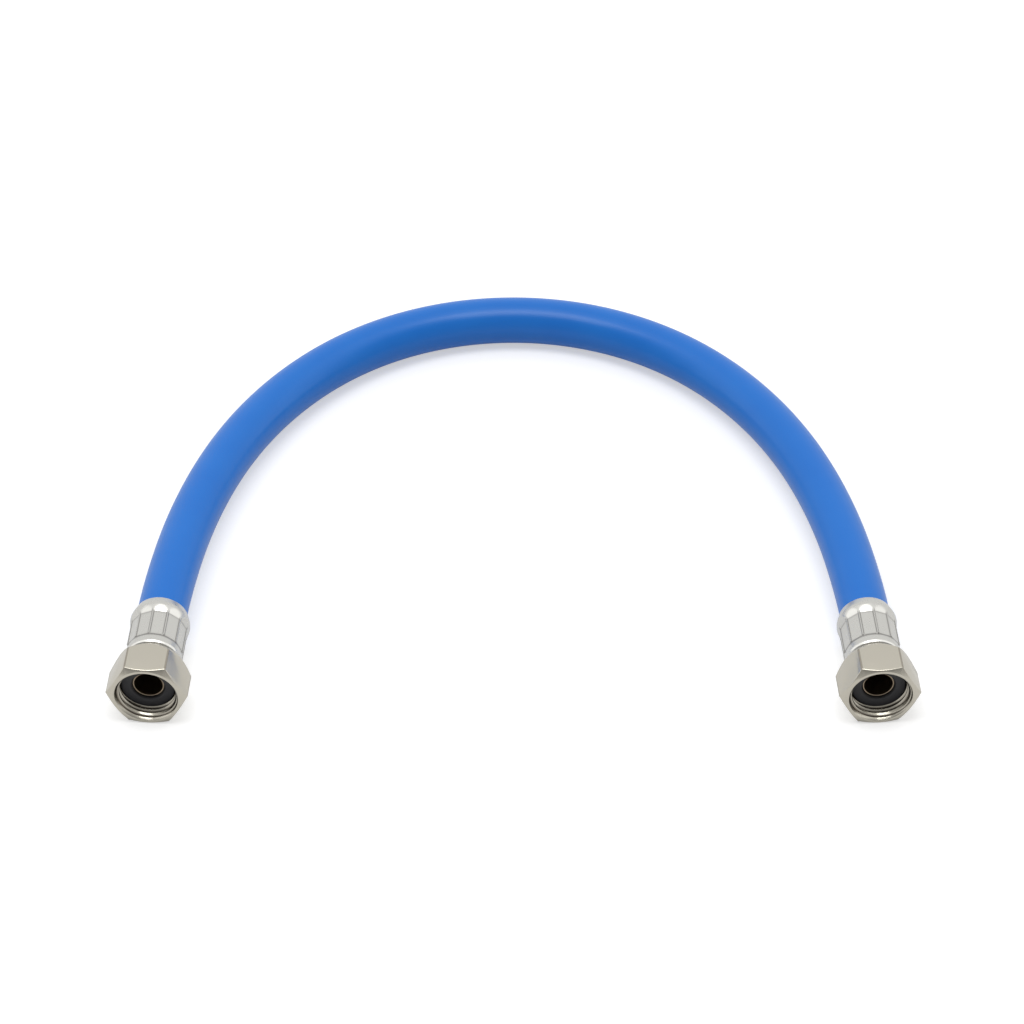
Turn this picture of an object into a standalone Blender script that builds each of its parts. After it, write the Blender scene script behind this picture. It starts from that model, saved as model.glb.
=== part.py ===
# Flexible water hose with a swivelling union nut at each end.
# A blue PVC hose lies on the floor in a U. Each end is crimped by a ferrule onto a barbed
# hose tail, whose flange backs a flat washer and keeps a loose hexagonal nut from falling off.
# Metres, +Z up. The origin is on the floor, under the middle of the object.

import math

import bmesh
import bpy
import numpy
from mathutils import Matrix, Vector

MM = 0.001

# Hose, 12.5 x 17 mm
HOSE_RADIUS = 8.5 * MM
HOSE_WALL = 2.25 * MM
HOSE_SIDES = 20
HOSE_SEGMENT = 9.0 * MM
HOSE_IN_FERRULE = 21.0 * MM

# Right half of the hose's centre line, from the top of the U to the ferrule's mouth.
# The far bend lies on the floor, and the nuts lift the two ends a little.
HALF_ROUTE_MM = (
    (0.0, 99.6, 8.5),
    (22.8, 96.7, 8.6),
    (44.1, 88.3, 8.9),
    (63.0, 75.2, 9.3),
    (78.8, 58.6, 9.7),
    (91.6, 39.4, 10.2),
    (101.4, 18.7, 10.8),
    (108.8, -3.1, 11.2),
    (114.1, -25.4, 11.6),
    (117.7, -48.2, 11.9),
    (119.7, -68.0, 12.0),
)
SPLAY = math.radians(3.75)

# Clearance between pieces that touch on the real object
GAP = 0.3 * MM

# Ferrule, with heights measured along its axis from the mouth
FERRULE_LENGTH = 22.9 * MM
FERRULE_BORE_RADIUS = HOSE_RADIUS + GAP
FERRULE_END_WALL = 1.2 * MM
FERRULE_MOUTH_RADIUS = 9.25 * MM
FERRULE_MOUTH_RIM = 0.7 * MM
FERRULE_BULGE_RADIUS = 10.2 * MM
FERRULE_BULGE_PLACE = 3.8 * MM
FERRULE_FRONT_RADIUS = 9.75 * MM
CRIMP_START = 7.3 * MM
CRIMP_END = 18.4 * MM
CRIMP_RIDGE_RADIUS = 9.85 * MM
CRIMP_FLAT_RADIUS = 9.35 * MM
CRIMP_FLAT_WIDTH = 4.3 * MM
CRIMP_FLATS = 12
CRIMP_LEAN = math.radians(20.0)

# Union nut for a G1/2 thread, whose turns are left as the plain minor diameter
NUT_ACROSS_FLATS = 24.0 * MM
NUT_START = FERRULE_LENGTH + 0.6 * MM
NUT_LENGTH = 16.1 * MM
NUT_REAR_WALL = 5.0 * MM
NUT_FACE_RADIUS = 11.4 * MM
NUT_FACE_CHAMFER = math.radians(31.0)
NUT_REAR_RADIUS = 9.8 * MM
NUT_REAR_CHAMFER = math.radians(51.0)
THREAD_MINOR_RADIUS = 9.315 * MM
THREAD_LEAD_RADIUS = 10.5 * MM
THREAD_LEAD_DEPTH = 2.05 * MM
RELIEF_RADIUS = 10.5 * MM
RELIEF_LENGTH = 4.8 * MM

# Hose tail: a flanged and barbed tube
NECK_RADIUS = 6.3 * MM
TAIL_START = 1.5 * MM
TAIL_BORE_RADIUS = 4.8 * MM
TAIL_ROOT_RADIUS = 5.35 * MM
TAIL_BARB_RADIUS = 5.75 * MM
TAIL_BARBS = 5
FLANGE_RADIUS = 9.0 * MM
FLANGE_THICKNESS = 3.4 * MM
COLLAR_RADIUS = 5.3 * MM
COLLAR_LENGTH = 1.2 * MM
FLANGE_START = NUT_START + NUT_REAR_WALL + GAP

# Flat sealing washer
WASHER_START = FLANGE_START + FLANGE_THICKNESS + GAP
WASHER_THICKNESS = 2.0 * MM
WASHER_OUTER_RADIUS = 9.0 * MM
WASHER_INNER_RADIUS = COLLAR_RADIUS + GAP
WASHER_EDGE = 0.3 * MM

ROUND_STEPS = 48
TAIL_STEPS = 32
MERGE = 0.00001
SIDES = {"left": -1, "right": 1}


# Scene, collections and materials

def clear_scene():
    for obj in list(bpy.data.objects):
        bpy.data.objects.remove(obj, do_unlink=True)


def new_collection(name):
    collection = bpy.data.collections.new(name)
    bpy.context.scene.collection.children.link(collection)
    return collection


def new_material(name, colour, roughness, metallic):
    material = bpy.data.materials.new(name)
    material.use_nodes = True
    shader = material.node_tree.nodes["Principled BSDF"]
    shader.inputs["Base Color"].default_value = (*colour, 1.0)
    shader.inputs["Roughness"].default_value = roughness
    shader.inputs["Metallic"].default_value = metallic
    material.diffuse_color = (*colour, 1.0)
    return material


# Shapes shared by several pieces

def turned_piece(name, outline, parent, collection, material=None, steps=ROUND_STEPS):
    """Turn a closed outline of (radius, height) about local Z. It runs down its outer side first."""
    mesh = bpy.data.meshes.new(name)
    points = [(radius, 0.0, height) for radius, height in outline]
    edges = [(i, (i + 1) % len(points)) for i in range(len(points))]
    mesh.from_pydata(points, edges, [])
    if material:
        mesh.materials.append(material)
    piece = bpy.data.objects.new(name, mesh)
    collection.objects.link(piece)
    piece.parent = parent
    turn = piece.modifiers.new("Turn", "SCREW")
    turn.angle = 2.0 * math.pi
    turn.steps = steps
    turn.render_steps = steps
    turn.use_merge_vertices = True
    turn.merge_threshold = MERGE
    turn.use_smooth_shade = True
    return piece


def boolean_with(piece, cutter, operation):
    boolean = piece.modifiers.new(cutter.name, "BOOLEAN")
    boolean.operation = operation
    boolean.solver = "EXACT"
    boolean.object = cutter
    cutter.hide_render = True
    cutter.display_type = "WIRE"


# Hose

def end_direction(side):
    """Unit vector along a fitting's axis, out of the hose's end."""
    return Vector((side * math.sin(SPLAY), -math.cos(SPLAY), 0.0))


def ferrule_mouth(side):
    x, y, z = HALF_ROUTE_MM[-1]
    return Vector((side * x, y, z)) * MM


def spline_bends(points, steps, first_heading, last_heading):
    """Second derivatives of the cubic spline through the points, at each of them."""
    count = len(points)
    slopes = numpy.diff(points, axis=0) / steps[:, None]
    system = numpy.zeros((count, count))
    target = numpy.zeros((count, 3))
    system[0, :2] = (2.0 * steps[0], steps[0])
    system[-1, -2:] = (steps[-1], 2.0 * steps[-1])
    target[0] = 6.0 * (slopes[0] - first_heading)
    target[-1] = 6.0 * (last_heading - slopes[-1])
    for i in range(1, count - 1):
        system[i, i - 1:i + 2] = (steps[i - 1], 2.0 * (steps[i - 1] + steps[i]), steps[i])
        target[i] = 6.0 * (slopes[i] - slopes[i - 1])
    return numpy.linalg.solve(system, target)


def spline_through(points, first_heading, last_heading, spacing):
    """Evenly spaced points on the cubic spline that passes through the given ones."""
    steps = numpy.linalg.norm(numpy.diff(points, axis=0), axis=1)
    knots = numpy.concatenate(([0.0], numpy.cumsum(steps)))
    bends = spline_bends(points, steps, first_heading, last_heading)
    places = []
    for length in numpy.linspace(0.0, knots[-1], round(knots[-1] / spacing) + 1):
        i = min(int(numpy.searchsorted(knots, length, side="right")) - 1, len(steps) - 1)
        step = steps[i]
        ahead = knots[i + 1] - length
        behind = length - knots[i]
        place = (bends[i] * ahead ** 3 + bends[i + 1] * behind ** 3) / (6.0 * step)
        place = place + (points[i] / step - bends[i] * step / 6.0) * ahead
        place = place + (points[i + 1] / step - bends[i + 1] * step / 6.0) * behind
        places.append(Vector(place))
    return places


def hose_route():
    """Centre line of the hose, with a straight stretch inside each ferrule."""
    right = [(x, y, z) for x, y, z in HALF_ROUTE_MM]
    left = [(-x, y, z) for x, y, z in HALF_ROUTE_MM[:0:-1]]
    points = numpy.array(left + right) * MM
    free_stretch = spline_through(points, -numpy.array(end_direction(-1)),
                                  numpy.array(end_direction(1)), HOSE_SEGMENT)
    left_end = ferrule_mouth(-1) + end_direction(-1) * HOSE_IN_FERRULE
    right_end = ferrule_mouth(1) + end_direction(1) * HOSE_IN_FERRULE
    return [left_end, *free_stretch, right_end]


def make_hose(collection, material):
    curve = bpy.data.curves.new("hose", "CURVE")
    curve.dimensions = "3D"
    curve.bevel_depth = HOSE_RADIUS
    curve.bevel_resolution = HOSE_SIDES // 2 - 2
    route = hose_route()
    spline = curve.splines.new("POLY")
    spline.points.add(len(route) - 1)
    for point, place in zip(spline.points, route):
        point.co = (*place, 1.0)
    guide = bpy.data.objects.new("hose_guide", curve)
    collection.objects.link(guide)
    bpy.context.view_layer.update()
    evaluated = guide.evaluated_get(bpy.context.evaluated_depsgraph_get())
    mesh = bpy.data.meshes.new_from_object(evaluated)
    bpy.data.objects.remove(guide, do_unlink=True)
    skin = bmesh.new()
    skin.from_mesh(mesh)
    bmesh.ops.remove_doubles(skin, verts=skin.verts, dist=MERGE)
    skin.to_mesh(mesh)
    skin.free()
    mesh.materials.clear()
    mesh.materials.append(material)
    mesh.shade_smooth()
    hose = bpy.data.objects.new("hose", mesh)
    collection.objects.link(hose)
    wall = hose.modifiers.new("Wall", "SOLIDIFY")
    wall.thickness = HOSE_WALL
    wall.offset = -1.0
    wall.use_even_offset = True
    return hose


# Ferrule: a thin cup, swollen behind its mouth and pressed to flats by the crimping jaws

def ferrule_outline():
    front = FERRULE_LENGTH
    outline = [
        (FERRULE_FRONT_RADIUS - 1.2 * MM, front),
        (FERRULE_FRONT_RADIUS - 0.4 * MM, front - 0.3 * MM),
        (FERRULE_FRONT_RADIUS, front - 1.0 * MM),
        (FERRULE_FRONT_RADIUS, front - 1.9 * MM),
        (CRIMP_FLAT_RADIUS + 0.1 * MM, front - 3.4 * MM),
        (CRIMP_FLAT_RADIUS + 0.1 * MM, CRIMP_END + 0.6 * MM),
        (CRIMP_RIDGE_RADIUS, CRIMP_END - 0.4 * MM),
    ]
    for degrees in range(0, 91, 18):
        angle = math.radians(degrees)
        swell = (FERRULE_BULGE_RADIUS - CRIMP_RIDGE_RADIUS) * math.sin(angle)
        fall = (CRIMP_START - FERRULE_BULGE_PLACE) * math.cos(angle)
        outline.append((CRIMP_RIDGE_RADIUS + swell, FERRULE_BULGE_PLACE + fall))
    outline += [
        (FERRULE_BULGE_RADIUS - 0.35 * MM, FERRULE_MOUTH_RIM + 1.3 * MM),
        (FERRULE_MOUTH_RADIUS, FERRULE_MOUTH_RIM),
        (FERRULE_MOUTH_RADIUS, 0.0),
        (FERRULE_BORE_RADIUS, 0.0),
        (FERRULE_BORE_RADIUS, front - FERRULE_END_WALL),
        (NECK_RADIUS + GAP, front - FERRULE_END_WALL),
        (NECK_RADIUS + GAP, front),
    ]
    return outline


def crimping_jaws(name, lean, parent, collection):
    """One box for each jaw, standing off the axis where its flat is pressed."""
    depth = 2.0 * MM
    start = CRIMP_START + 0.2 * MM
    middle = Vector((CRIMP_FLAT_RADIUS + depth / 2.0, 0.0, (start + CRIMP_END) / 2.0))
    jaws = bmesh.new()
    for i in range(CRIMP_FLATS):
        box = bmesh.ops.create_cube(jaws, size=1.0)["verts"]
        bmesh.ops.scale(jaws, verts=box, vec=(depth, CRIMP_FLAT_WIDTH, CRIMP_END - start))
        bmesh.ops.translate(jaws, verts=box, vec=middle)
        turn = Matrix.Rotation((i + 0.5) * 2.0 * math.pi / CRIMP_FLATS + lean, 3, "Z")
        bmesh.ops.rotate(jaws, verts=box, cent=(0.0, 0.0, 0.0), matrix=turn)
    mesh = bpy.data.meshes.new(name)
    jaws.to_mesh(mesh)
    jaws.free()
    cutter = bpy.data.objects.new(name, mesh)
    collection.objects.link(cutter)
    cutter.parent = parent
    return cutter


def make_ferrule(side_name, side, fitting, parts, cutters, material):
    ferrule = turned_piece(f"{side_name}_ferrule", ferrule_outline(), fitting, parts, material)
    jaws = crimping_jaws(f"{side_name}_crimping_jaws", side * CRIMP_LEAN, fitting, cutters)
    boolean_with(ferrule, jaws, "DIFFERENCE")
    return ferrule


# Union nut: a turned blank with its bore and chamfers, cut to a hexagon

def nut_outline():
    front = NUT_START + NUT_LENGTH
    relief_start = NUT_START + NUT_REAR_WALL
    relief_end = relief_start + RELIEF_LENGTH
    corner = NUT_ACROSS_FLATS / 2.0 / math.cos(math.radians(30.0)) + 0.5 * MM
    front_chamfer = (corner - NUT_FACE_RADIUS) * math.tan(NUT_FACE_CHAMFER)
    rear_chamfer = (corner - NUT_REAR_RADIUS) * math.tan(NUT_REAR_CHAMFER)
    return [
        (NUT_FACE_RADIUS, front),
        (corner, front - front_chamfer),
        (corner, NUT_START + rear_chamfer),
        (NUT_REAR_RADIUS, NUT_START),
        (NECK_RADIUS + GAP, NUT_START),
        (NECK_RADIUS + GAP, relief_start),
        (RELIEF_RADIUS, relief_start),
        (RELIEF_RADIUS, relief_end),
        (THREAD_MINOR_RADIUS, relief_end + 0.7 * MM),
        (THREAD_MINOR_RADIUS, front - THREAD_LEAD_DEPTH),
        (THREAD_LEAD_RADIUS, front),
    ]


def hexagon(name, parent, collection):
    """A bar of hexagonal stock, with two of its flats level."""
    stock = bmesh.new()
    corner = NUT_ACROSS_FLATS / 2.0 / math.cos(math.radians(30.0))
    bmesh.ops.create_cone(stock, cap_ends=True, segments=6, radius1=corner, radius2=corner,
                          depth=2.0 * NUT_LENGTH)
    middle = Vector((0.0, 0.0, NUT_START + NUT_LENGTH / 2.0))
    bmesh.ops.translate(stock, verts=stock.verts, vec=middle)
    first_corner = max(stock.verts, key=lambda corner: corner.co.x).co
    turn = Matrix.Rotation(-math.atan2(first_corner.y, first_corner.x), 3, "Z")
    bmesh.ops.rotate(stock, verts=stock.verts, cent=(0.0, 0.0, 0.0), matrix=turn)
    mesh = bpy.data.meshes.new(name)
    stock.to_mesh(mesh)
    stock.free()
    cutter = bpy.data.objects.new(name, mesh)
    collection.objects.link(cutter)
    cutter.parent = parent
    return cutter


def make_nut(side_name, axis, parts, cutters, material):
    nut = turned_piece(f"{side_name}_union_nut", nut_outline(), axis, parts, material)
    stock = hexagon(f"{side_name}_hexagon", axis, cutters)
    boolean_with(nut, stock, "INTERSECT")
    return nut


# Hose tail: flange, neck and barbed tube in one turned piece

def tail_outline():
    flange_front = FLANGE_START + FLANGE_THICKNESS
    collar_front = flange_front + COLLAR_LENGTH
    neck_end = FERRULE_LENGTH - FERRULE_END_WALL - 2.0 * GAP
    pitch = (neck_end - TAIL_START) / TAIL_BARBS
    outline = [
        (COLLAR_RADIUS, collar_front),
        (COLLAR_RADIUS, flange_front),
        (FLANGE_RADIUS, flange_front),
        (FLANGE_RADIUS, FLANGE_START),
        (NECK_RADIUS, FLANGE_START),
        (NECK_RADIUS, neck_end),
    ]
    for i in range(TAIL_BARBS):
        top = neck_end - i * pitch
        outline.append((TAIL_ROOT_RADIUS, top))
        outline.append((TAIL_ROOT_RADIUS, top - 0.3 * pitch))
        outline.append((TAIL_BARB_RADIUS, top - 0.35 * pitch))
    outline.append((TAIL_ROOT_RADIUS, TAIL_START))
    outline.append((TAIL_BORE_RADIUS, TAIL_START))
    outline.append((TAIL_BORE_RADIUS, collar_front))
    return outline


def make_tail(side_name, fitting, parts, material):
    return turned_piece(f"{side_name}_hose_tail", tail_outline(), fitting, parts, material, TAIL_STEPS)


# Washer: a flat ring with its edges eased

def washer_outline():
    front = WASHER_START + WASHER_THICKNESS
    return [
        (WASHER_OUTER_RADIUS - WASHER_EDGE, front),
        (WASHER_OUTER_RADIUS, front - WASHER_EDGE),
        (WASHER_OUTER_RADIUS, WASHER_START),
        (WASHER_INNER_RADIUS, WASHER_START),
        (WASHER_INNER_RADIUS, front),
    ]


def make_washer(side_name, fitting, parts, material):
    return turned_piece(f"{side_name}_washer", washer_outline(), fitting, parts, material)


# Assembly

def new_axis(name, place, side, collection):
    """An empty whose Z runs out of the hose's end and whose Y points up."""
    axis = bpy.data.objects.new(name, None)
    axis.empty_display_type = "ARROWS"
    axis.empty_display_size = 20.0 * MM
    axis.location = place
    axis.rotation_euler = (math.radians(90.0), 0.0, side * SPLAY)
    collection.objects.link(axis)
    return axis


def main():
    clear_scene()
    parts = new_collection("flexible_hose")
    cutters = new_collection("cutters")
    pvc = new_material("blue_pvc", (0.035, 0.19, 0.62), 0.3, 0.0)
    aluminium = new_material("crimped_aluminium", (0.72, 0.73, 0.74), 0.3, 1.0)
    nickel = new_material("nickel_plated_brass", (0.58, 0.54, 0.49), 0.28, 1.0)
    brass = new_material("hose_tail_brass", (0.6, 0.46, 0.26), 0.3, 1.0)
    rubber = new_material("black_rubber", (0.02, 0.02, 0.022), 0.7, 0.0)
    make_hose(parts, pvc)
    for side_name, side in SIDES.items():
        mouth = ferrule_mouth(side)
        fitting = new_axis(f"{side_name}_fitting", mouth, side, parts)
        swivel = new_axis(f"{side_name}_nut_swivel", mouth, side, parts)
        make_ferrule(side_name, side, fitting, parts, cutters, aluminium)
        make_tail(side_name, fitting, parts, brass)
        make_washer(side_name, fitting, parts, rubber)
        make_nut(side_name, swivel, parts, cutters, nickel)


main()
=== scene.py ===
import math

import bmesh
import bpy
import numpy
from mathutils import Euler, Matrix, Vector


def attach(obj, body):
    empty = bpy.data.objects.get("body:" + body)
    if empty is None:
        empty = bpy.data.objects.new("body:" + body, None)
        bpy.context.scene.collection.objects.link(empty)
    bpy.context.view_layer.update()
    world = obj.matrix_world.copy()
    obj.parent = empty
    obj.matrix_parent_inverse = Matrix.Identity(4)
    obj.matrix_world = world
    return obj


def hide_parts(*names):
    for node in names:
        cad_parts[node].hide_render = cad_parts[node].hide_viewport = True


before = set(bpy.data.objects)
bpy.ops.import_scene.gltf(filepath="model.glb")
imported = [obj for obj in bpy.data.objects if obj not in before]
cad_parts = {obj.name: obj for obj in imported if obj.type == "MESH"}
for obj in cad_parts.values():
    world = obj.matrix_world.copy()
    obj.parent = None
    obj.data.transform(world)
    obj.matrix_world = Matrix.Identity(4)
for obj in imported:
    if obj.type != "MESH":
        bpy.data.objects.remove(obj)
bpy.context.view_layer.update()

mm = 0.001
mergeDistance = 0.002 * mm
sides = {"left": -1, "right": 1}

bpy.context.scene.view_settings.view_transform = "Standard"


# camera, looking down on the open ends of the two nuts

cameraSettings = {
    "place": (-0.00048, -1.05705, 0.91914),
    "lookDown": 41.0,
    "lens": 138.6,
    "sensorWidth": 36.0,
    "farthest": 50.0,
}


def makeCamera():
    s = cameraSettings
    camera = bpy.data.objects.new("photoCamera", bpy.data.cameras.new("photoCamera"))
    camera.data.lens = s["lens"]
    camera.data.sensor_width = s["sensorWidth"]
    camera.data.clip_end = s["farthest"]
    camera.location = s["place"]
    camera.rotation_euler = (math.radians(90.0 - s["lookDown"]), 0.0, 0.0)
    bpy.context.scene.collection.objects.link(camera)
    bpy.context.scene.camera = camera


makeCamera()
print("camera placed")


# selection, outlines and turning

def deselectAll():  # operators act on all that is selected
    for other in bpy.context.selected_objects:
        other.select_set(False)


def pickOnly(piece):
    deselectAll()
    piece.select_set(True)
    bpy.context.view_layer.objects.active = piece


outlineSettings = {
    "mostReach": 0.49,  # share of a side that the rounding of one corner may take
    "arcStep": math.radians(15.0),
}


def roundCorners(corners, longest=None):  # corners of (radius, height, rounding), all in mm
    outline = []
    count = len(corners)
    most = outlineSettings["mostReach"]
    for i in range(count):
        here = Vector(corners[i][:2])
        before = Vector(corners[i - 1][:2]) - here
        after = Vector(corners[(i + 1) % count][:2]) - here
        rounding = corners[i][2]
        if rounding <= 0.0:
            outline.append(here * mm)
            continue
        half = before.angle(after) / 2.0
        reach = min(rounding / math.tan(half), most * before.length, most * after.length)
        start = here + before.normalized() * reach
        end = here + after.normalized() * reach
        inward = (before.normalized() + after.normalized()).normalized()
        middle = here + inward * reach / math.cos(half)
        pieces = max(2, round((math.pi - 2.0 * half) / outlineSettings["arcStep"]))
        for k in range(pieces + 1):
            spoke = (start - middle).normalized().slerp((end - middle).normalized(), k / pieces)
            outline.append((middle + spoke * (start - middle).length) * mm)
    if longest:
        outline = splitLong(outline, longest * mm)
    return outline


def splitLong(outline, longest):  # more points on the straight runs, so that they can be pressed in
    split = []
    for here, after in zip(outline, outline[1:] + outline[:1]):
        count = max(1, math.ceil((after - here).length / longest))
        split += [here.lerp(after, k / count) for k in range(count)]
    return split


def drawProfile(outline, spare=0):  # a ring of edges through (radius, height), with spare points after them
    deselectAll()
    bpy.ops.mesh.primitive_circle_add(vertices=len(outline) + spare, radius=mm, fill_type="NOTHING")
    profile = bpy.context.object
    for vertex, (radius, height) in zip(profile.data.vertices, outline):
        vertex.co = (radius, 0.0, height)
    return profile


def mergePoints():
    bpy.ops.mesh.select_all(action="SELECT")
    bpy.ops.mesh.remove_doubles(threshold=mergeDistance)


def faceOutwards():
    bpy.ops.mesh.select_all(action="SELECT")
    bpy.ops.mesh.normals_make_consistent(inside=False)


def turnPiece(name, outline, steps):  # spins a closed outline of (radius, height) about Z
    piece = drawProfile(outline)
    piece.name = name
    bpy.ops.object.mode_set(mode="EDIT")
    bpy.ops.mesh.select_all(action="SELECT")
    bpy.ops.mesh.spin(steps=steps, angle=2.0 * math.pi, center=(0.0, 0.0, 0.0), axis=(0.0, 0.0, 1.0))
    mergePoints()
    faceOutwards()
    bpy.ops.object.mode_set(mode="OBJECT")
    return piece


def applyModifier(piece, modifier):
    pickOnly(piece)
    bpy.ops.object.modifier_apply(modifier=modifier.name)


def cutWith(piece, tool, operation):
    cut = piece.modifiers.new("cut", "BOOLEAN")
    cut.operation = operation
    cut.solver = "EXACT"
    cut.object = tool
    applyModifier(piece, cut)
    bpy.data.objects.remove(tool, do_unlink=True)


def smoothBelow(piece, degrees):
    pickOnly(piece)
    bpy.ops.object.shade_smooth_by_angle(angle=math.radians(degrees))


def writeShares(piece, name, shares):  # one number from 0 to 1 for each point, which the material reads
    attribute = piece.data.attributes.new(name, "FLOAT", "POINT")
    attribute.data.foreach_set("value", shares)


def writeBenchPlace(piece, places):  # each point's place on the straight, unplaced piece: patterns follow it
    attribute = piece.data.attributes.new("benchPlace", "FLOAT_VECTOR", "POINT")
    attribute.data.foreach_set("vector", numpy.array(places, dtype=numpy.float32).ravel())


# route of the hose, the same points as its solid has

routeSettings = {
    "halfRoute": (
        (0.0, 0.0996, 0.0085),
        (0.0228, 0.0967, 0.0086),
        (0.0441, 0.0883, 0.0089),
        (0.0630, 0.0752, 0.0093),
        (0.0788, 0.0586, 0.0097),
        (0.0916, 0.0394, 0.0102),
        (0.1014, 0.0187, 0.0108),
        (0.1088, -0.0031, 0.0112),
        (0.1141, -0.0254, 0.0116),
        (0.1177, -0.0482, 0.0119),
        (0.1197, -0.0680, 0.0120),
    ),
    "splay": math.radians(3.75),
    "inFerrule": 21.0 * mm,
    "pointsInFerrule": 8,
    "spacing": 1.5 * mm,
}


def endDirection(side):
    splay = routeSettings["splay"]
    return Vector((side * math.sin(splay), -math.cos(splay), 0.0))


def ferruleMouth(side):
    x, y, z = routeSettings["halfRoute"][-1]
    return Vector((side * x, y, z))


def fittingPlace(side):  # Z out of the hose's end, Y up
    turn = Euler((math.radians(90.0), 0.0, side * routeSettings["splay"])).to_matrix().to_4x4()
    return Matrix.Translation(ferruleMouth(side)) @ turn


def splineBends(points, steps, firstHeading, lastHeading):  # second derivatives of the spline at its points
    count = len(points)
    slopes = numpy.diff(points, axis=0) / steps[:, None]
    system = numpy.zeros((count, count))
    target = numpy.zeros((count, 3))
    system[0, :2] = (2.0 * steps[0], steps[0])
    system[-1, -2:] = (steps[-1], 2.0 * steps[-1])
    target[0] = 6.0 * (slopes[0] - firstHeading)
    target[-1] = 6.0 * (lastHeading - slopes[-1])
    for i in range(1, count - 1):
        system[i, i - 1:i + 2] = (steps[i - 1], 2.0 * (steps[i - 1] + steps[i]), steps[i])
        target[i] = 6.0 * (slopes[i] - slopes[i - 1])
    return numpy.linalg.solve(system, target)


def hoseRoute():  # close points on the centre line, from inside the left ferrule to inside the right one
    half = routeSettings["halfRoute"]
    spacing = routeSettings["spacing"]
    points = numpy.array([(-x, y, z) for x, y, z in half[:0:-1]] + list(half))
    steps = numpy.linalg.norm(numpy.diff(points, axis=0), axis=1)
    knots = numpy.concatenate(([0.0], numpy.cumsum(steps)))
    bends = splineBends(points, steps, -numpy.array(endDirection(-1)), numpy.array(endDirection(1)))
    middle = []
    for length in numpy.linspace(0.0, knots[-1], round(knots[-1] / spacing) + 1):
        i = min(int(numpy.searchsorted(knots, length, side="right")) - 1, len(steps) - 1)
        ahead = knots[i + 1] - length
        behind = length - knots[i]
        place = (bends[i] * ahead ** 3 + bends[i + 1] * behind ** 3) / (6.0 * steps[i])
        place = place + (points[i] / steps[i] - bends[i] * steps[i] / 6.0) * ahead
        place = place + (points[i + 1] / steps[i] - bends[i + 1] * steps[i] / 6.0) * behind
        middle.append(Vector(place))
    count = routeSettings["pointsInFerrule"]
    inside = [routeSettings["inFerrule"] * k / count for k in range(count, 0, -1)]
    left = [ferruleMouth(-1) + endDirection(-1) * depth for depth in inside]
    right = [ferruleMouth(1) + endDirection(1) * depth for depth in reversed(inside)]
    return left + middle + right


# materials: one function for colours and one for nodes, then short ones for what every finish needs;
# a source is a node with the name or number of its output

def hexColour(code):
    channels = [int(code[i:i + 2], 16) / 255.0 for i in (1, 3, 5)]
    linear = [c / 12.92 if c <= 0.04045 else ((c + 0.055) / 1.055) ** 2.4 for c in channels]
    return (*linear, 1.0)


def addNode(tree, kind, settings=None, sockets=None):
    node = tree.nodes.new(kind)
    for name, value in (settings or {}).items():
        setattr(node, name, value)
    for name, value in (sockets or {}).items():
        if isinstance(value, tuple) and isinstance(value[0], bpy.types.Node):
            tree.links.new(value[0].outputs[value[1]], node.inputs[name])
        else:
            node.inputs[name].default_value = value
    return node


def addMath(tree, operation, *values):
    return (addNode(tree, "ShaderNodeMath", {"operation": operation}, dict(enumerate(values))), "Value")


def addRamp(tree, value, span, ends=(0.0, 1.0), curve="SMOOTHSTEP"):
    ramp = addNode(tree, "ShaderNodeMapRange", {"interpolation_type": curve},
                   {"Value": value, "From Min": span[0], "From Max": span[1],
                    "To Min": ends[0], "To Max": ends[1]})
    return (ramp, "Result")


def mixColours(tree, share, first, second):
    mix = addNode(tree, "ShaderNodeMix", {"data_type": "RGBA"}, {"Factor": share, 6: first, 7: second})
    return (mix, 2)


def mixNumbers(tree, share, first, second):
    mix = addNode(tree, "ShaderNodeMix", {"data_type": "FLOAT"}, {"Factor": share, 2: first, 3: second})
    return (mix, 0)


def readAttribute(tree, name, output):
    return (addNode(tree, "ShaderNodeAttribute", {"attribute_name": name}), output)


def addNoise(tree, place, scale, detail, roughness=0.5):
    noise = addNode(tree, "ShaderNodeTexNoise", None,
                    {"Vector": place, "Scale": scale, "Detail": detail, "Roughness": roughness})
    return (noise, "Fac")


def addLines(tree, place, perMm, squeeze, detail):  # noise squeezed along the piece, which makes fine lines
    along = addNode(tree, "ShaderNodeMapping", None, {"Vector": place, "Scale": (1.0, 1.0, squeeze)})
    return addNoise(tree, (along, "Vector"), perMm / mm / 2.0, detail)


def addBump(tree, height, strength, depth, under=None):  # depth in mm
    sockets = {"Height": height, "Strength": strength, "Distance": depth * mm}
    if under:
        sockets["Normal"] = under
    return (addNode(tree, "ShaderNodeBump", None, sockets), "Normal")


def newMaterial(name):
    material = bpy.data.materials.new(name)
    material.use_nodes = True
    tree = material.node_tree
    tree.nodes.clear()
    return material, tree


def finishMaterial(tree, shader, output="BSDF"):
    addNode(tree, "ShaderNodeOutputMaterial", None, {"Surface": (shader, output)})


def finishMetal(tree, colour, roughness, normal):
    shader = addNode(tree, "ShaderNodeBsdfPrincipled", None,
                     {"Base Color": colour, "Metallic": 1.0, "Roughness": roughness, "Normal": normal})
    finishMaterial(tree, shader)


pvcSettings = {
    "colour": "#166fcd",
    "paler": "#1e77d3",
    "cloudScale": 60.0,
    "roughness": (0.26, 0.36),
    "ior": 1.45,
    "specular": 0.4,
    "streaksPerMm": 2.2,
    "streakSqueeze": 0.015,
    "streakStrength": 0.25,
    "streakDepth": 0.02,
    "waveLength": 14.0,  # mm between the slow swells that the extruder leaves
    "waveStrength": 0.6,
    "waveDepth": 0.3,
}


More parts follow.
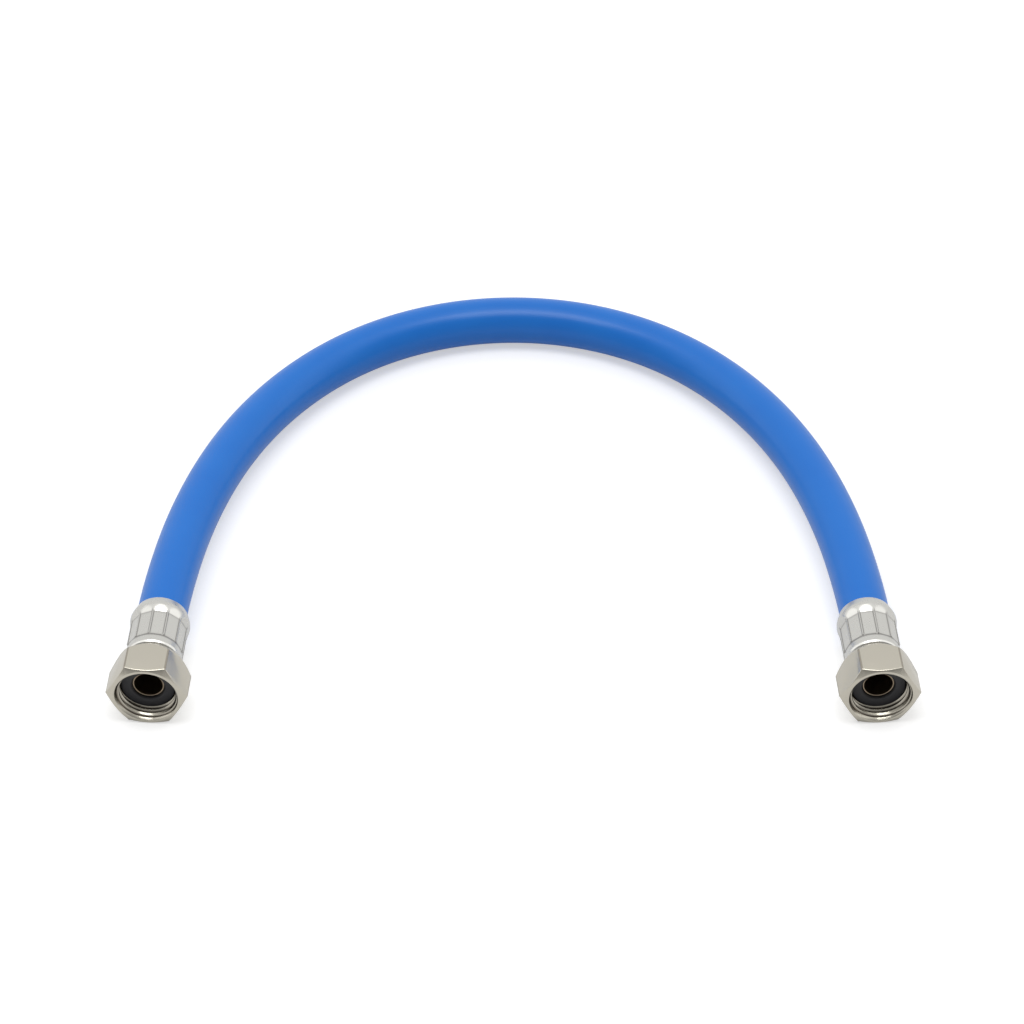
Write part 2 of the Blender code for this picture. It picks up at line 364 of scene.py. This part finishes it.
def extrudedBluePvc():  # flexible PVC, extruded: even colour, soft gloss, faint lines along its length
    s = pvcSettings
    material, tree = newMaterial("extrudedBluePvc")
    place = readAttribute(tree, "benchPlace", "Vector")
    clouds = addNoise(tree, place, s["cloudScale"], 2.0)
    colour = mixColours(tree, clouds, hexColour(s["colour"]), hexColour(s["paler"]))
    lines = addLines(tree, place, s["streaksPerMm"], s["streakSqueeze"], 1.0)
    swell = addNoise(tree, place, 1.0 / (s["waveLength"] * mm), 1.0)
    lineBump = addBump(tree, lines, s["streakStrength"], s["streakDepth"])
    bump = addBump(tree, swell, s["waveStrength"], s["waveDepth"], lineBump)
    gloss = addRamp(tree, lines, (0.0, 1.0), s["roughness"], "LINEAR")
    shader = addNode(tree, "ShaderNodeBsdfPrincipled", None,
                     {"Base Color": colour, "Roughness": gloss, "IOR": s["ior"],
                      "Specular IOR Level": s["specular"], "Normal": bump})
    finishMaterial(tree, shader)
    return material


unevenSpan = (0.3, 0.7)  # where most of a noise's values lie, between the smoother and the rougher spots

aluminiumSettings = {
    # painted shade for the crimp's creases and the gap behind the lip:
    "colour": "#d2d1cc",
    "crease": "#858380",
    "roughness": (0.25, 0.32),
    "rubbedScale": 320.0,
    "rubbedDetail": 0.6,
    "drawLinesPerMm": 3.0,
    "lineSqueeze": 0.06,
    "lineStrength": 0.3,
    "lineDepth": 0.02,
}


def drawnAluminium():  # aluminium cup, deep drawn and crimped: bright, with faint lines along the draw
    s = aluminiumSettings
    material, tree = newMaterial("drawnAluminium")
    place = readAttribute(tree, "benchPlace", "Vector")
    lines = addLines(tree, place, s["drawLinesPerMm"], s["lineSqueeze"], 3.0)
    rubbed = addNoise(tree, place, s["rubbedScale"], 4.0, s["rubbedDetail"])
    gloss = addRamp(tree, rubbed, unevenSpan, s["roughness"], "LINEAR")
    # painted shade in the crimp's creases and at the lip, from the mesh
    pressed = readAttribute(tree, "crease", "Fac")
    colour = mixColours(tree, pressed, hexColour(s["colour"]), hexColour(s["crease"]))
    finishMetal(tree, colour, gloss, addBump(tree, lines, s["lineStrength"], s["lineDepth"]))
    return material


nickelSettings = {
    "colour": "#c7c2b5",
    "groove": "#4e4135",  # painted shade in the thread's roots
    "edge": "#a29c90",  # rubbed corners of the hexagon
    "edgeFrom": 13.55,  # mm from the nut's axis
    "edgeTo": 13.72,
    "roughness": (0.19, 0.26),
    "cloudScale": 180.0,
    "grainScale": 1400.0,
    "grainDetail": 0.65,
    "grainStrength": 0.2,
    "grainDepth": 0.02,
}


def nickelPlatedBrass():  # forged brass under nickel plate: warm grey, satin, slightly uneven
    s = nickelSettings
    material, tree = newMaterial("nickelPlatedBrass")
    place = readAttribute(tree, "benchPlace", "Vector")
    grain = addNoise(tree, place, s["grainScale"], 4.0, s["grainDetail"])
    clouds = addNoise(tree, place, s["cloudScale"], 3.0)
    gloss = addRamp(tree, clouds, unevenSpan, s["roughness"], "LINEAR")
    across = addNode(tree, "ShaderNodeVectorMath", {"operation": "MULTIPLY"}, {0: place, 1: (1.0, 1.0, 0.0)})
    radius = addNode(tree, "ShaderNodeVectorMath", {"operation": "LENGTH"}, {0: (across, "Vector")})
    corner = addRamp(tree, (radius, "Value"), (s["edgeFrom"] * mm, s["edgeTo"] * mm))
    plate = mixColours(tree, corner, hexColour(s["colour"]), hexColour(s["edge"]))
    # painted shade in the thread's roots, from the mesh
    grooveShaded = readAttribute(tree, "groove", "Fac")
    colour = mixColours(tree, grooveShaded, plate, hexColour(s["groove"]))
    finishMetal(tree, colour, gloss, addBump(tree, grain, s["grainStrength"], s["grainDepth"]))
    return material


tailBrassSettings = {
    "colour": "#a3937e",
    "roughness": 0.33,
    "ringScale": 900.0,
    "ringUnevenness": 0.4,
    "ringStrength": 0.2,
    "ringDepth": 0.02,
}


def turnedTailBrass():  # turned brass, dulled: the cutter's rings run round it
    s = tailBrassSettings
    material, tree = newMaterial("turnedTailBrass")
    place = readAttribute(tree, "benchPlace", "Vector")
    rings = addNode(tree, "ShaderNodeTexWave", {"wave_type": "BANDS", "bands_direction": "Z"},
                    {"Vector": place, "Scale": s["ringScale"], "Distortion": s["ringUnevenness"],
                     "Detail": 1.0})
    bump = addBump(tree, (rings, "Fac"), s["ringStrength"], s["ringDepth"])
    finishMetal(tree, hexColour(s["colour"]), s["roughness"], bump)
    return material


rubberSettings = {
    "colour": "#2e2e31",
    "roughness": 0.55,
    "ior": 1.5,
    "grainScale": 1600.0,
    "grainStrength": 0.35,
    "grainDepth": 0.04,
}


def mouldedRubber():  # black rubber, moulded: matte, a little grey where light grazes it
    s = rubberSettings
    material, tree = newMaterial("mouldedRubber")
    place = readAttribute(tree, "benchPlace", "Vector")
    grain = addNoise(tree, place, s["grainScale"], 3.0)
    bump = addBump(tree, grain, s["grainStrength"], s["grainDepth"])
    shader = addNode(tree, "ShaderNodeBsdfPrincipled", None,
                     {"Base Color": hexColour(s["colour"]), "Roughness": s["roughness"], "IOR": s["ior"],
                      "Normal": bump})
    finishMaterial(tree, shader)
    return material


finishes = {
    "blue_pvc": extrudedBluePvc(),
    "crimped_aluminium": drawnAluminium(),
    "nickel_plated_brass": nickelPlatedBrass(),
    "hose_tail_brass": turnedTailBrass(),
    "black_rubber": mouldedRubber(),
}
print("materials made")


def dressPiece(piece, slot, body, node):  # finish, body and the solid that it stands for
    piece.data.materials.clear()
    piece.data.materials.append(finishes[slot])
    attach(piece, body)
    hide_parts(node)


def placeOnFitting(piece, side):  # from the bench to its end of the hose
    writeBenchPlace(piece, [tuple(vertex.co) for vertex in piece.data.vertices])
    pickOnly(piece)
    piece.matrix_world = fittingPlace(side)
    bpy.ops.object.transform_apply(location=True, rotation=True, scale=True)


# hose: a hollow tube along its route

hoseSettings = {
    "radius": 8.5 * mm,
    "wall": 2.25 * mm,
    "pointsRound": 72,
    "smoothBelow": 40.0,
}


def tubeMesh(name, route):  # the tube's outer skin, and where its points lie with the hose straight
    radius = hoseSettings["radius"]
    count = hoseSettings["pointsRound"]
    skin = bmesh.new()
    rings = []
    places = []
    travelled = 0.0
    for i, point in enumerate(route):
        ahead = route[min(i + 1, len(route) - 1)] - route[max(i - 1, 0)]
        across = ahead.cross(Vector((0.0, 0.0, 1.0))).normalized()
        up = across.cross(ahead).normalized()
        travelled += (point - route[i - 1]).length if i else 0.0
        ring = []
        for k in range(count):
            angle = 2.0 * math.pi * k / count
            spoke = across * math.sin(angle) - up * math.cos(angle)
            ring.append(skin.verts.new(point + spoke * radius))
            places.append((radius * math.sin(angle), -radius * math.cos(angle), travelled))
        rings.append(ring)
    for ring, after in zip(rings, rings[1:]):
        for k in range(count):
            m = (k + 1) % count
            skin.faces.new((ring[k], ring[m], after[m], after[k]))
    bmesh.ops.recalc_face_normals(skin, faces=skin.faces)
    mesh = bpy.data.meshes.new(name)
    skin.to_mesh(mesh)
    skin.free()
    return mesh, places


def makeHose(route):
    mesh, places = tubeMesh("blueHose", route)
    hose = bpy.data.objects.new("blueHose", mesh)
    bpy.context.scene.collection.objects.link(hose)
    writeBenchPlace(hose, places)
    wall = hose.modifiers.new("wall", "SOLIDIFY")
    wall.thickness = hoseSettings["wall"]
    wall.offset = -1.0
    applyModifier(hose, wall)
    smoothBelow(hose, hoseSettings["smoothBelow"])
    dressPiece(hose, "blue_pvc", "hose_assembly", "hose")
    return hose


route = hoseRoute()
hose = makeHose(route)


# ferrule: a drawn cup, swollen behind its mouth and crimped by twelve jaws; sizes in mm from its mouth

ferruleSettings = {
    "length": 22.9,
    "sheet": 1.2,
    "mouthRadius": 9.25,
    "mouthBore": 8.56,
    "mouthBoreEnd": 1.2,
    "boreStart": 1.8,
    "bore": 8.8,
    "bulgeRadius": 10.25,
    "bulge": (3.3, 4.4),
    "ridgeRadius": 9.84,
    "ridge": (7.2, 18.2),
    "collarRadius": 9.52,
    "collar": (18.5, 19.4),
    "rimRadius": 9.8,
    "rimPlace": 21.65,
    "lipRadius": 9.5,
    "lipPlace": 22.45,
    "faceRadius": 8.95,
    "holeRadius": 6.6,
    "longestRun": 0.45,
    "steps": 360,
    "smoothBelow": 50.0,
}

crimpSettings = {
    "flats": 12,
    "flatRadius": 9.35,
    "start": 7.3,
    "end": 18.6,
    "leadIn": 18.0,  # slope of the jaws' ends, in degrees
    "leadOut": 35.0,
    "lean": 22.0,  # degrees that the crimp is turned, towards the middle of the U
    "ridgeEdge": (0.9, 2.1),  # degrees from a ridge's middle where the pressing begins and is full
    "blend": 0.12,
    "outside": 9.0,  # points nearer to the axis aren't pressed
}

creaseShadeSettings = {  # painted shade in the crimp's creases, at its fold and in the gap behind the lip
    "foot": 2.0,  # degrees from a ridge's middle
    "footWidth": 1.4,
    "footDepth": 0.15,
    "bend": 7.4,
    "bendWidth": 0.4,
    "bendShare": 0.8,
    "foldWidth": 0.4,
    "foldShare": 1.4,
    "lipWidth": 0.2,
}


def easeBetween(low, high, value):
    share = min(1.0, max(0.0, (value - low) / (high - low)))
    return share * share * (3.0 - 2.0 * share)


def softMinimum(first, second, blend):
    near = max(blend - abs(first - second), 0.0) / blend
    return min(first, second) - near * near * blend / 4.0


def peak(value, middle, width, top=1.0):  # the top at the middle, falling by 1 over each width
    return max(0.0, top - abs(value - middle) / width)


def crimp(ferrule, side):  # presses the flats, moving the outer points towards the axis, and marks painted shade in its creases
    s = crimpSettings
    c = creaseShadeSettings
    between = 360.0 / s["flats"]
    slopeIn = math.tan(math.radians(s["leadIn"]))
    slopeOut = math.tan(math.radians(s["leadOut"]))
    creaseShades = []
    for vertex in ferrule.data.vertices:
        x, y, z = vertex.co / mm
        radius = math.hypot(x, y)
        if radius < s["outside"]:
            creaseShades.append(0.0)
            continue
        angle = math.degrees(math.atan2(y, x)) - 90.0 - side * s["lean"]
        off = abs((angle + between / 2.0) % between - between / 2.0)  # from the nearest ridge
        lead = max(0.0, s["start"] - z) * slopeIn + max(0.0, z - s["end"]) * slopeOut
        flat = (s["flatRadius"] + lead) / math.cos(math.radians(between / 2.0 - off))
        beside = easeBetween(*s["ridgeEdge"], off)
        scale = (radius + (softMinimum(radius, flat, s["blend"]) - radius) * beside) / radius
        vertex.co.x *= scale
        vertex.co.y *= scale
        # painted shade at the ribs' feet, where the flats start, at the fold and at the lip
        foot = peak(off, c["foot"], c["footWidth"]) * min(1.0, max(0.0, radius - flat) / c["footDepth"])
        bend = peak(z, c["bend"], c["bendWidth"]) * c["bendShare"] * beside
        fold = min(1.0, peak(z, s["end"], c["foldWidth"], c["foldShare"]))
        lip = 1.0 if z > ferruleSettings["length"] - c["lipWidth"] else 0.0
        creaseShades.append(max(foot, bend, fold, lip))
    writeShares(ferrule, "crease", creaseShades)


def makeFerrule(sideName, side):
    s = ferruleSettings
    front = s["length"]
    corners = [
        (s["holeRadius"], front, 0.1),
        (s["faceRadius"], front, 0.1),
        (s["lipRadius"], s["lipPlace"], 0.12),
        (s["rimRadius"], s["rimPlace"], 0.8),
        (s["collarRadius"], s["collar"][1], 1.0),
        (s["collarRadius"], s["collar"][0], 0.1),
        (s["ridgeRadius"], s["ridge"][1], 0.15),
        (s["ridgeRadius"], s["ridge"][0], 1.5),
        (s["bulgeRadius"], s["bulge"][1], 1.5),
        (s["bulgeRadius"], s["bulge"][0], 2.5),
        (s["mouthRadius"], 0.3, 0.25),
        (s["mouthRadius"] - 0.1, 0.0, 0.15),
        (s["mouthBore"], 0.0, 0.2),
        (s["mouthBore"], s["mouthBoreEnd"], 0.2),
        (s["bore"], s["boreStart"], 0.0),
        (s["bore"], front - s["sheet"], 0.0),
        (s["holeRadius"], front - s["sheet"], 0.0),
    ]
    ferrule = turnPiece(sideName + "FerruleCrimped", roundCorners(corners, s["longestRun"]), s["steps"])
    crimp(ferrule, side)
    smoothBelow(ferrule, s["smoothBelow"])
    placeOnFitting(ferrule, side)
    dressPiece(ferrule, "crimped_aluminium", "hose_assembly", sideName + "_ferrule")
    return ferrule


# hose tail: flange, neck and barbs, turned in one piece

tailSettings = {
    "bore": 4.8,
    "root": 5.35,
    "barb": 5.75,
    "barbs": 5,
    "rootShare": 0.3,  # of a barb's pitch, then its steep side up to barbShare
    "barbShare": 0.35,
    "neck": 6.3,
    "flange": 9.0,
    "start": 1.5,
    "neckEnd": 21.1,
    "flangeStart": 28.8,
    "flangeEnd": 32.4,
    "collar": 5.3,  # the lip that centres the washer
    "collarEnd": 33.4,
    "steps": 96,
    "smoothBelow": 35.0,
}


def makeTail(sideName, side):
    s = tailSettings
    corners = [
        (s["collar"], s["collarEnd"], 0.14),
        (s["collar"], s["flangeEnd"], 0.1),
        (s["flange"], s["flangeEnd"], 0.3),
        (s["flange"], s["flangeStart"], 0.3),
        (s["neck"], s["flangeStart"], 0.4),
        (s["neck"], s["neckEnd"], 0.2),
    ]
    pitch = (s["neckEnd"] - s["start"]) / s["barbs"]
    for i in range(s["barbs"]):
        top = s["neckEnd"] - i * pitch
        corners += [
            (s["root"], top, 0.0),
            (s["root"], top - s["rootShare"] * pitch, 0.0),
            (s["barb"], top - s["barbShare"] * pitch, 0.08),
        ]
    corners += [
        (s["root"], s["start"], 0.1),
        (s["bore"], s["start"], 0.1),
        (s["bore"], s["collarEnd"], 0.14),
    ]
    tail = turnPiece(sideName + "HoseTail", roundCorners(corners), s["steps"])
    smoothBelow(tail, s["smoothBelow"])
    placeOnFitting(tail, side)
    dressPiece(tail, "hose_tail_brass", "hose_assembly", sideName + "_hose_tail")
    return tail


# washer: a flat ring of rubber, its edges eased by the mould

washerSettings = {
    "outer": 9.0,
    "inner": 5.42,
    "start": 32.5,
    "end": 34.5,
    "steps": 128,
    "smoothBelow": 50.0,
}


def makeWasher(sideName, side):
    s = washerSettings
    corners = [
        (s["outer"], s["end"], 0.3),
        (s["outer"], s["start"], 0.2),
        (s["inner"], s["start"], 0.15),
        (s["inner"], s["end"], 0.8),
    ]
    washer = turnPiece(sideName + "Washer", roundCorners(corners), s["steps"])
    smoothBelow(washer, s["smoothBelow"])
    placeOnFitting(washer, side)
    dressPiece(washer, "black_rubber", "hose_assembly", sideName + "_washer")
    return washer


# union nut: hexagonal bar, chamfered at both ends, bored and threaded

nutSettings = {
    "acrossFlats": 24.0,
    "start": 23.5,
    "front": 39.6,
    "faceRadius": 11.4,
    "faceChamfer": 31.0,
    "rearRadius": 9.8,
    "rearChamfer": 51.0,
    "neckBore": 6.6,
    "reliefRadius": 10.5,
    "reliefStart": 28.5,
    "reliefEnd": 33.3,
    "boreRadius": 9.0,  # less than the thread's minor radius, so that the thread cuts its crests too
    "boreStart": 34.3,
    "leadRadius": 10.7,
    "leadAngle": 28.0,  # from the axis
    "sharpAbove": 20.0,
    "edgeRounding": 0.24,
    "mouthEdge": 11.05,  # edges inside this radius are rounded less
    "mouthShare": 0.3,
    "overlap": 0.5,  # the turned blank reaches this far past the bar's corners
    "barLength": 40.0,
    "steps": 144,
    "smoothBelow": 30.0,
}

threadSettings = {  # pipe thread of half an inch, rounded at crest and root
    "major": 10.4775,
    "minor": 9.3155,
    "pitch": 1.814,
    "rounding": 0.249,
    "roundingAngles": (0.0, 21.0, 42.0, 62.5),
    "turns": 6,
    "start": 31.6,
    "steps": 96,
}

grooveShadeSettings = {  # painted shade in the thread's roots, in mm
    "crestMargin": 0.05,
    "rootMargin": 0.02,
    "start": 0.1,
    "fade": 0.3,
}


def cornerRadius():
    return nutSettings["acrossFlats"] / 2.0 / math.cos(math.radians(30.0))


def turnedBlank(name):
    s = nutSettings
    outside = cornerRadius() + s["overlap"]
    faceDrop = (outside - s["faceRadius"]) * math.tan(math.radians(s["faceChamfer"]))
    rearDrop = (outside - s["rearRadius"]) * math.tan(math.radians(s["rearChamfer"]))
    leadDrop = (s["leadRadius"] - s["boreRadius"]) / math.tan(math.radians(s["leadAngle"]))
    corners = [
        (s["faceRadius"], s["front"], 0.0),
        (outside, s["front"] - faceDrop, 0.0),
        (outside, s["start"] + rearDrop, 0.0),
        (s["rearRadius"], s["start"], 0.0),
        (s["neckBore"], s["start"], 0.0),
        (s["neckBore"], s["reliefStart"], 0.0),
        (s["reliefRadius"], s["reliefStart"], 0.0),
        (s["reliefRadius"], s["reliefEnd"], 0.0),
        (s["boreRadius"], s["boreStart"], 0.0),
        (s["boreRadius"], s["front"] - leadDrop, 0.0),
        (s["leadRadius"], s["front"], 0.0),
    ]
    return turnPiece(name, roundCorners(corners), s["steps"])


def hexagonalBar():
    s = nutSettings
    middle = (s["start"] + s["front"]) / 2.0
    deselectAll()
    bpy.ops.mesh.primitive_cylinder_add(vertices=6, radius=cornerRadius() * mm, depth=s["barLength"] * mm,
                                        location=(0.0, 0.0, middle * mm))
    bar = bpy.context.object
    first = max((vertex.co for vertex in bar.data.vertices), key=lambda place: place.x)
    bar.rotation_euler = (0.0, 0.0, -math.atan2(first.y, first.x))  # two flats level
    bpy.ops.object.transform_apply(location=True, rotation=True, scale=True)
    return bar


def threadTurn():  # one pitch of the thread, from root to root, as (radius, height)
    t = threadSettings
    half = []
    for degrees in t["roundingAngles"]:
        angle = math.radians(degrees)
        half.append((t["major"] - t["rounding"] * (1.0 - math.cos(angle)), t["rounding"] * math.sin(angle)))
    for degrees in reversed(t["roundingAngles"]):
        angle = math.radians(degrees)
        half.append((t["minor"] + t["rounding"] * (1.0 - math.cos(angle)),
                     t["pitch"] / 2.0 - t["rounding"] * math.sin(angle)))
    back = [(radius, t["pitch"] - height) for radius, height in reversed(half[:-1])]
    return half + back


def closeEnd(plug, middle, low):  # draws the open end below or above the middle together to a point
    bpy.ops.mesh.select_all(action="DESELECT")
    shape = bmesh.from_edit_mesh(plug.data)
    for edge in shape.edges:
        height = (edge.verts[0].co.z + edge.verts[1].co.z) / 2.0
        edge.select_set(edge.is_boundary and (height < middle) == low)
    bmesh.update_edit_mesh(plug.data)
    bpy.ops.mesh.extrude_region_move()
    bpy.ops.mesh.merge(type="CENTER")


def threadPlug():  # a screw of the thread's own form, taken out of the bore
    t = threadSettings
    turn = [(radius * mm, (t["start"] + height) * mm) for radius, height in threadTurn()]
    plug = drawProfile(turn, 1)
    bpy.ops.object.mode_set(mode="EDIT")
    shape = bmesh.from_edit_mesh(plug.data)
    for vertex in shape.verts:
        vertex.select_set(vertex.index == len(turn))
    shape.select_flush_mode()
    bmesh.update_edit_mesh(plug.data)
    bpy.ops.mesh.delete(type="VERT")  # without the spare point the ring is open, so that the turns can join
    bpy.ops.object.mode_set(mode="OBJECT")
    screw = plug.modifiers.new("turns", "SCREW")
    screw.angle = 2.0 * math.pi
    screw.screw_offset = t["pitch"] * mm
    screw.iterations = t["turns"]
    screw.steps = t["steps"]
    screw.render_steps = t["steps"]
    applyModifier(plug, screw)
    bpy.ops.object.mode_set(mode="EDIT")
    mergePoints()
    middle = (t["start"] + t["pitch"] * (t["turns"] + 1) / 2.0) * mm
    closeEnd(plug, middle, True)
    closeEnd(plug, middle, False)
    faceOutwards()
    bpy.ops.object.mode_set(mode="OBJECT")
    return plug


def weighEdges(nut):  # sharp edges are rounded: the mouth's by less than those of the hexagon
    s = nutSettings
    shape = bmesh.new()
    shape.from_mesh(nut.data)
    weights = shape.edges.layers.float.new("bevel_weight_edge")
    for edge in shape.edges:
        middle = (edge.verts[0].co + edge.verts[1].co) / 2.0
        if edge.calc_face_angle(0.0) > math.radians(s["sharpAbove"]):
            edge[weights] = 1.0 if middle.xy.length > s["mouthEdge"] * mm else s["mouthShare"]
    shape.to_mesh(nut.data)
    shape.free()


def roundEdges(nut):
    weighEdges(nut)
    eased = nut.modifiers.new("eased", "BEVEL")
    eased.width = nutSettings["edgeRounding"] * mm
    eased.segments = 3
    eased.limit_method = "WEIGHT"
    eased.use_clamp_overlap = False
    applyModifier(nut, eased)


def shadeGrooves(nut):  # painted shade on the thread below its crests, as an attribute that the material reads
    s = nutSettings
    g = grooveShadeSettings
    slope = math.tan(math.radians(s["leadAngle"]))
    grooveShades = []
    for vertex in nut.data.vertices:
        x, y, z = vertex.co / mm
        radius = math.hypot(x, y)
        crest = max(threadSettings["minor"] + g["crestMargin"], s["leadRadius"] - (s["front"] - z) * slope)
        inside = z > s["reliefStart"] and radius < threadSettings["major"] + g["rootMargin"]
        grooveShades.append(min(1.0, max(0.0, radius - crest - g["start"]) / g["fade"]) if inside else 0.0)
    writeShares(nut, "groove", grooveShades)


def makeNut(sideName, side):
    nut = turnedBlank(sideName + "UnionNut")
    cutWith(nut, hexagonalBar(), "INTERSECT")
    roundEdges(nut)
    cutWith(nut, threadPlug(), "DIFFERENCE")
    shadeGrooves(nut)
    smoothBelow(nut, nutSettings["smoothBelow"])
    placeOnFitting(nut, side)
    dressPiece(nut, "nickel_plated_brass", sideName + "_nut", sideName + "_union_nut")
    return nut


for sideName, side in sides.items():
    [make(sideName, side) for make in (makeFerrule, makeTail, makeWasher, makeNut)]
    print(sideName, "fitting made")


# studio: pale floor, one soft light above, and a pale room, darker in front, with a card overhead

studioSettings = {
    "floorSize": 8.0,
    "floorColour": "#d6d6d6",
    "floorLift": 0.5,  # glow that the camera sees, so that the floor is white
    "floorShine": 0.2,  # glow that reflections see
    "lightSize": (1.0, 0.54),
    "lightPlace": (-0.1, -0.15, 1.28),
    "lightGlow": 4.1,
    "roomFront": 0.28,
    "roomFrontLow": 0.5,
    "roomFrontRise": (0.0, 0.6),  # places in the room are parts of its radius: this is the height
    "roomBack": 0.9,
    "roomDepth": (-0.5, 0.3),
    "cardGlow": 0.65,  # long card overhead, from side to side, that only reflections see
    "cardFront": (-0.3, -0.05),
    "cardBack": (0.3, 0.42),
}

white = (1.0, 1.0, 1.0, 1.0)


def makeFloor():
    s = studioSettings
    deselectAll()
    bpy.ops.mesh.primitive_plane_add(size=s["floorSize"])
    floor = bpy.context.object
    floor.name = "paleFloor"
    material, tree = newMaterial("paleCard")
    ray = addNode(tree, "ShaderNodeLightPath")
    shine = addMath(tree, "MULTIPLY", (ray, "Is Glossy Ray"), s["floorShine"])
    lift = addMath(tree, "MULTIPLY_ADD", (ray, "Is Camera Ray"), s["floorLift"], shine)
    glow = addNode(tree, "ShaderNodeEmission", None, {"Color": white, "Strength": lift})
    card = addNode(tree, "ShaderNodeBsdfDiffuse", None, {"Color": hexColour(s["floorColour"])})
    both = addNode(tree, "ShaderNodeAddShader", None, {0: (card, "BSDF"), 1: (glow, "Emission")})
    finishMaterial(tree, both, "Shader")
    floor.data.materials.append(material)


def makeLight():
    s = studioSettings
    light = bpy.data.lights.new("softLight", "AREA")
    light.shape = "RECTANGLE"
    light.size, light.size_y = s["lightSize"]
    light.energy = s["lightGlow"] * math.pi * light.size * light.size_y
    holder = bpy.data.objects.new("softLight", light)
    holder.location = s["lightPlace"]
    bpy.context.scene.collection.objects.link(holder)


def makeRoom():
    s = studioSettings
    world = bpy.data.worlds.new("room")
    bpy.context.scene.world = world
    world.use_nodes = True
    tree = world.node_tree
    tree.nodes.clear()
    place = addNode(tree, "ShaderNodeTexCoord")
    parts = addNode(tree, "ShaderNodeSeparateXYZ", None, {"Vector": (place, "Generated")})
    ray = addNode(tree, "ShaderNodeLightPath")
    front = addRamp(tree, (parts, "Z"), s["roomFrontRise"], (s["roomFrontLow"], s["roomFront"]))
    room = mixNumbers(tree, addRamp(tree, (parts, "Y"), s["roomDepth"]), front, s["roomBack"])
    rise = addRamp(tree, (parts, "Y"), s["cardFront"], (0.0, s["cardGlow"]))
    fall = addRamp(tree, (parts, "Y"), s["cardBack"], (1.0, 0.0))
    card = addMath(tree, "MULTIPLY", rise, fall)
    glow = addMath(tree, "MULTIPLY_ADD", card, (ray, "Is Glossy Ray"), room)
    seen = mixNumbers(tree, (ray, "Is Camera Ray"), glow, 1.0)
    backdrop = addNode(tree, "ShaderNodeBackground", None, {"Color": white, "Strength": seen})
    addNode(tree, "ShaderNodeOutputWorld", None, {"Surface": (backdrop, "Background")})


makeFloor()
makeLight()
makeRoom()
print("studio made")
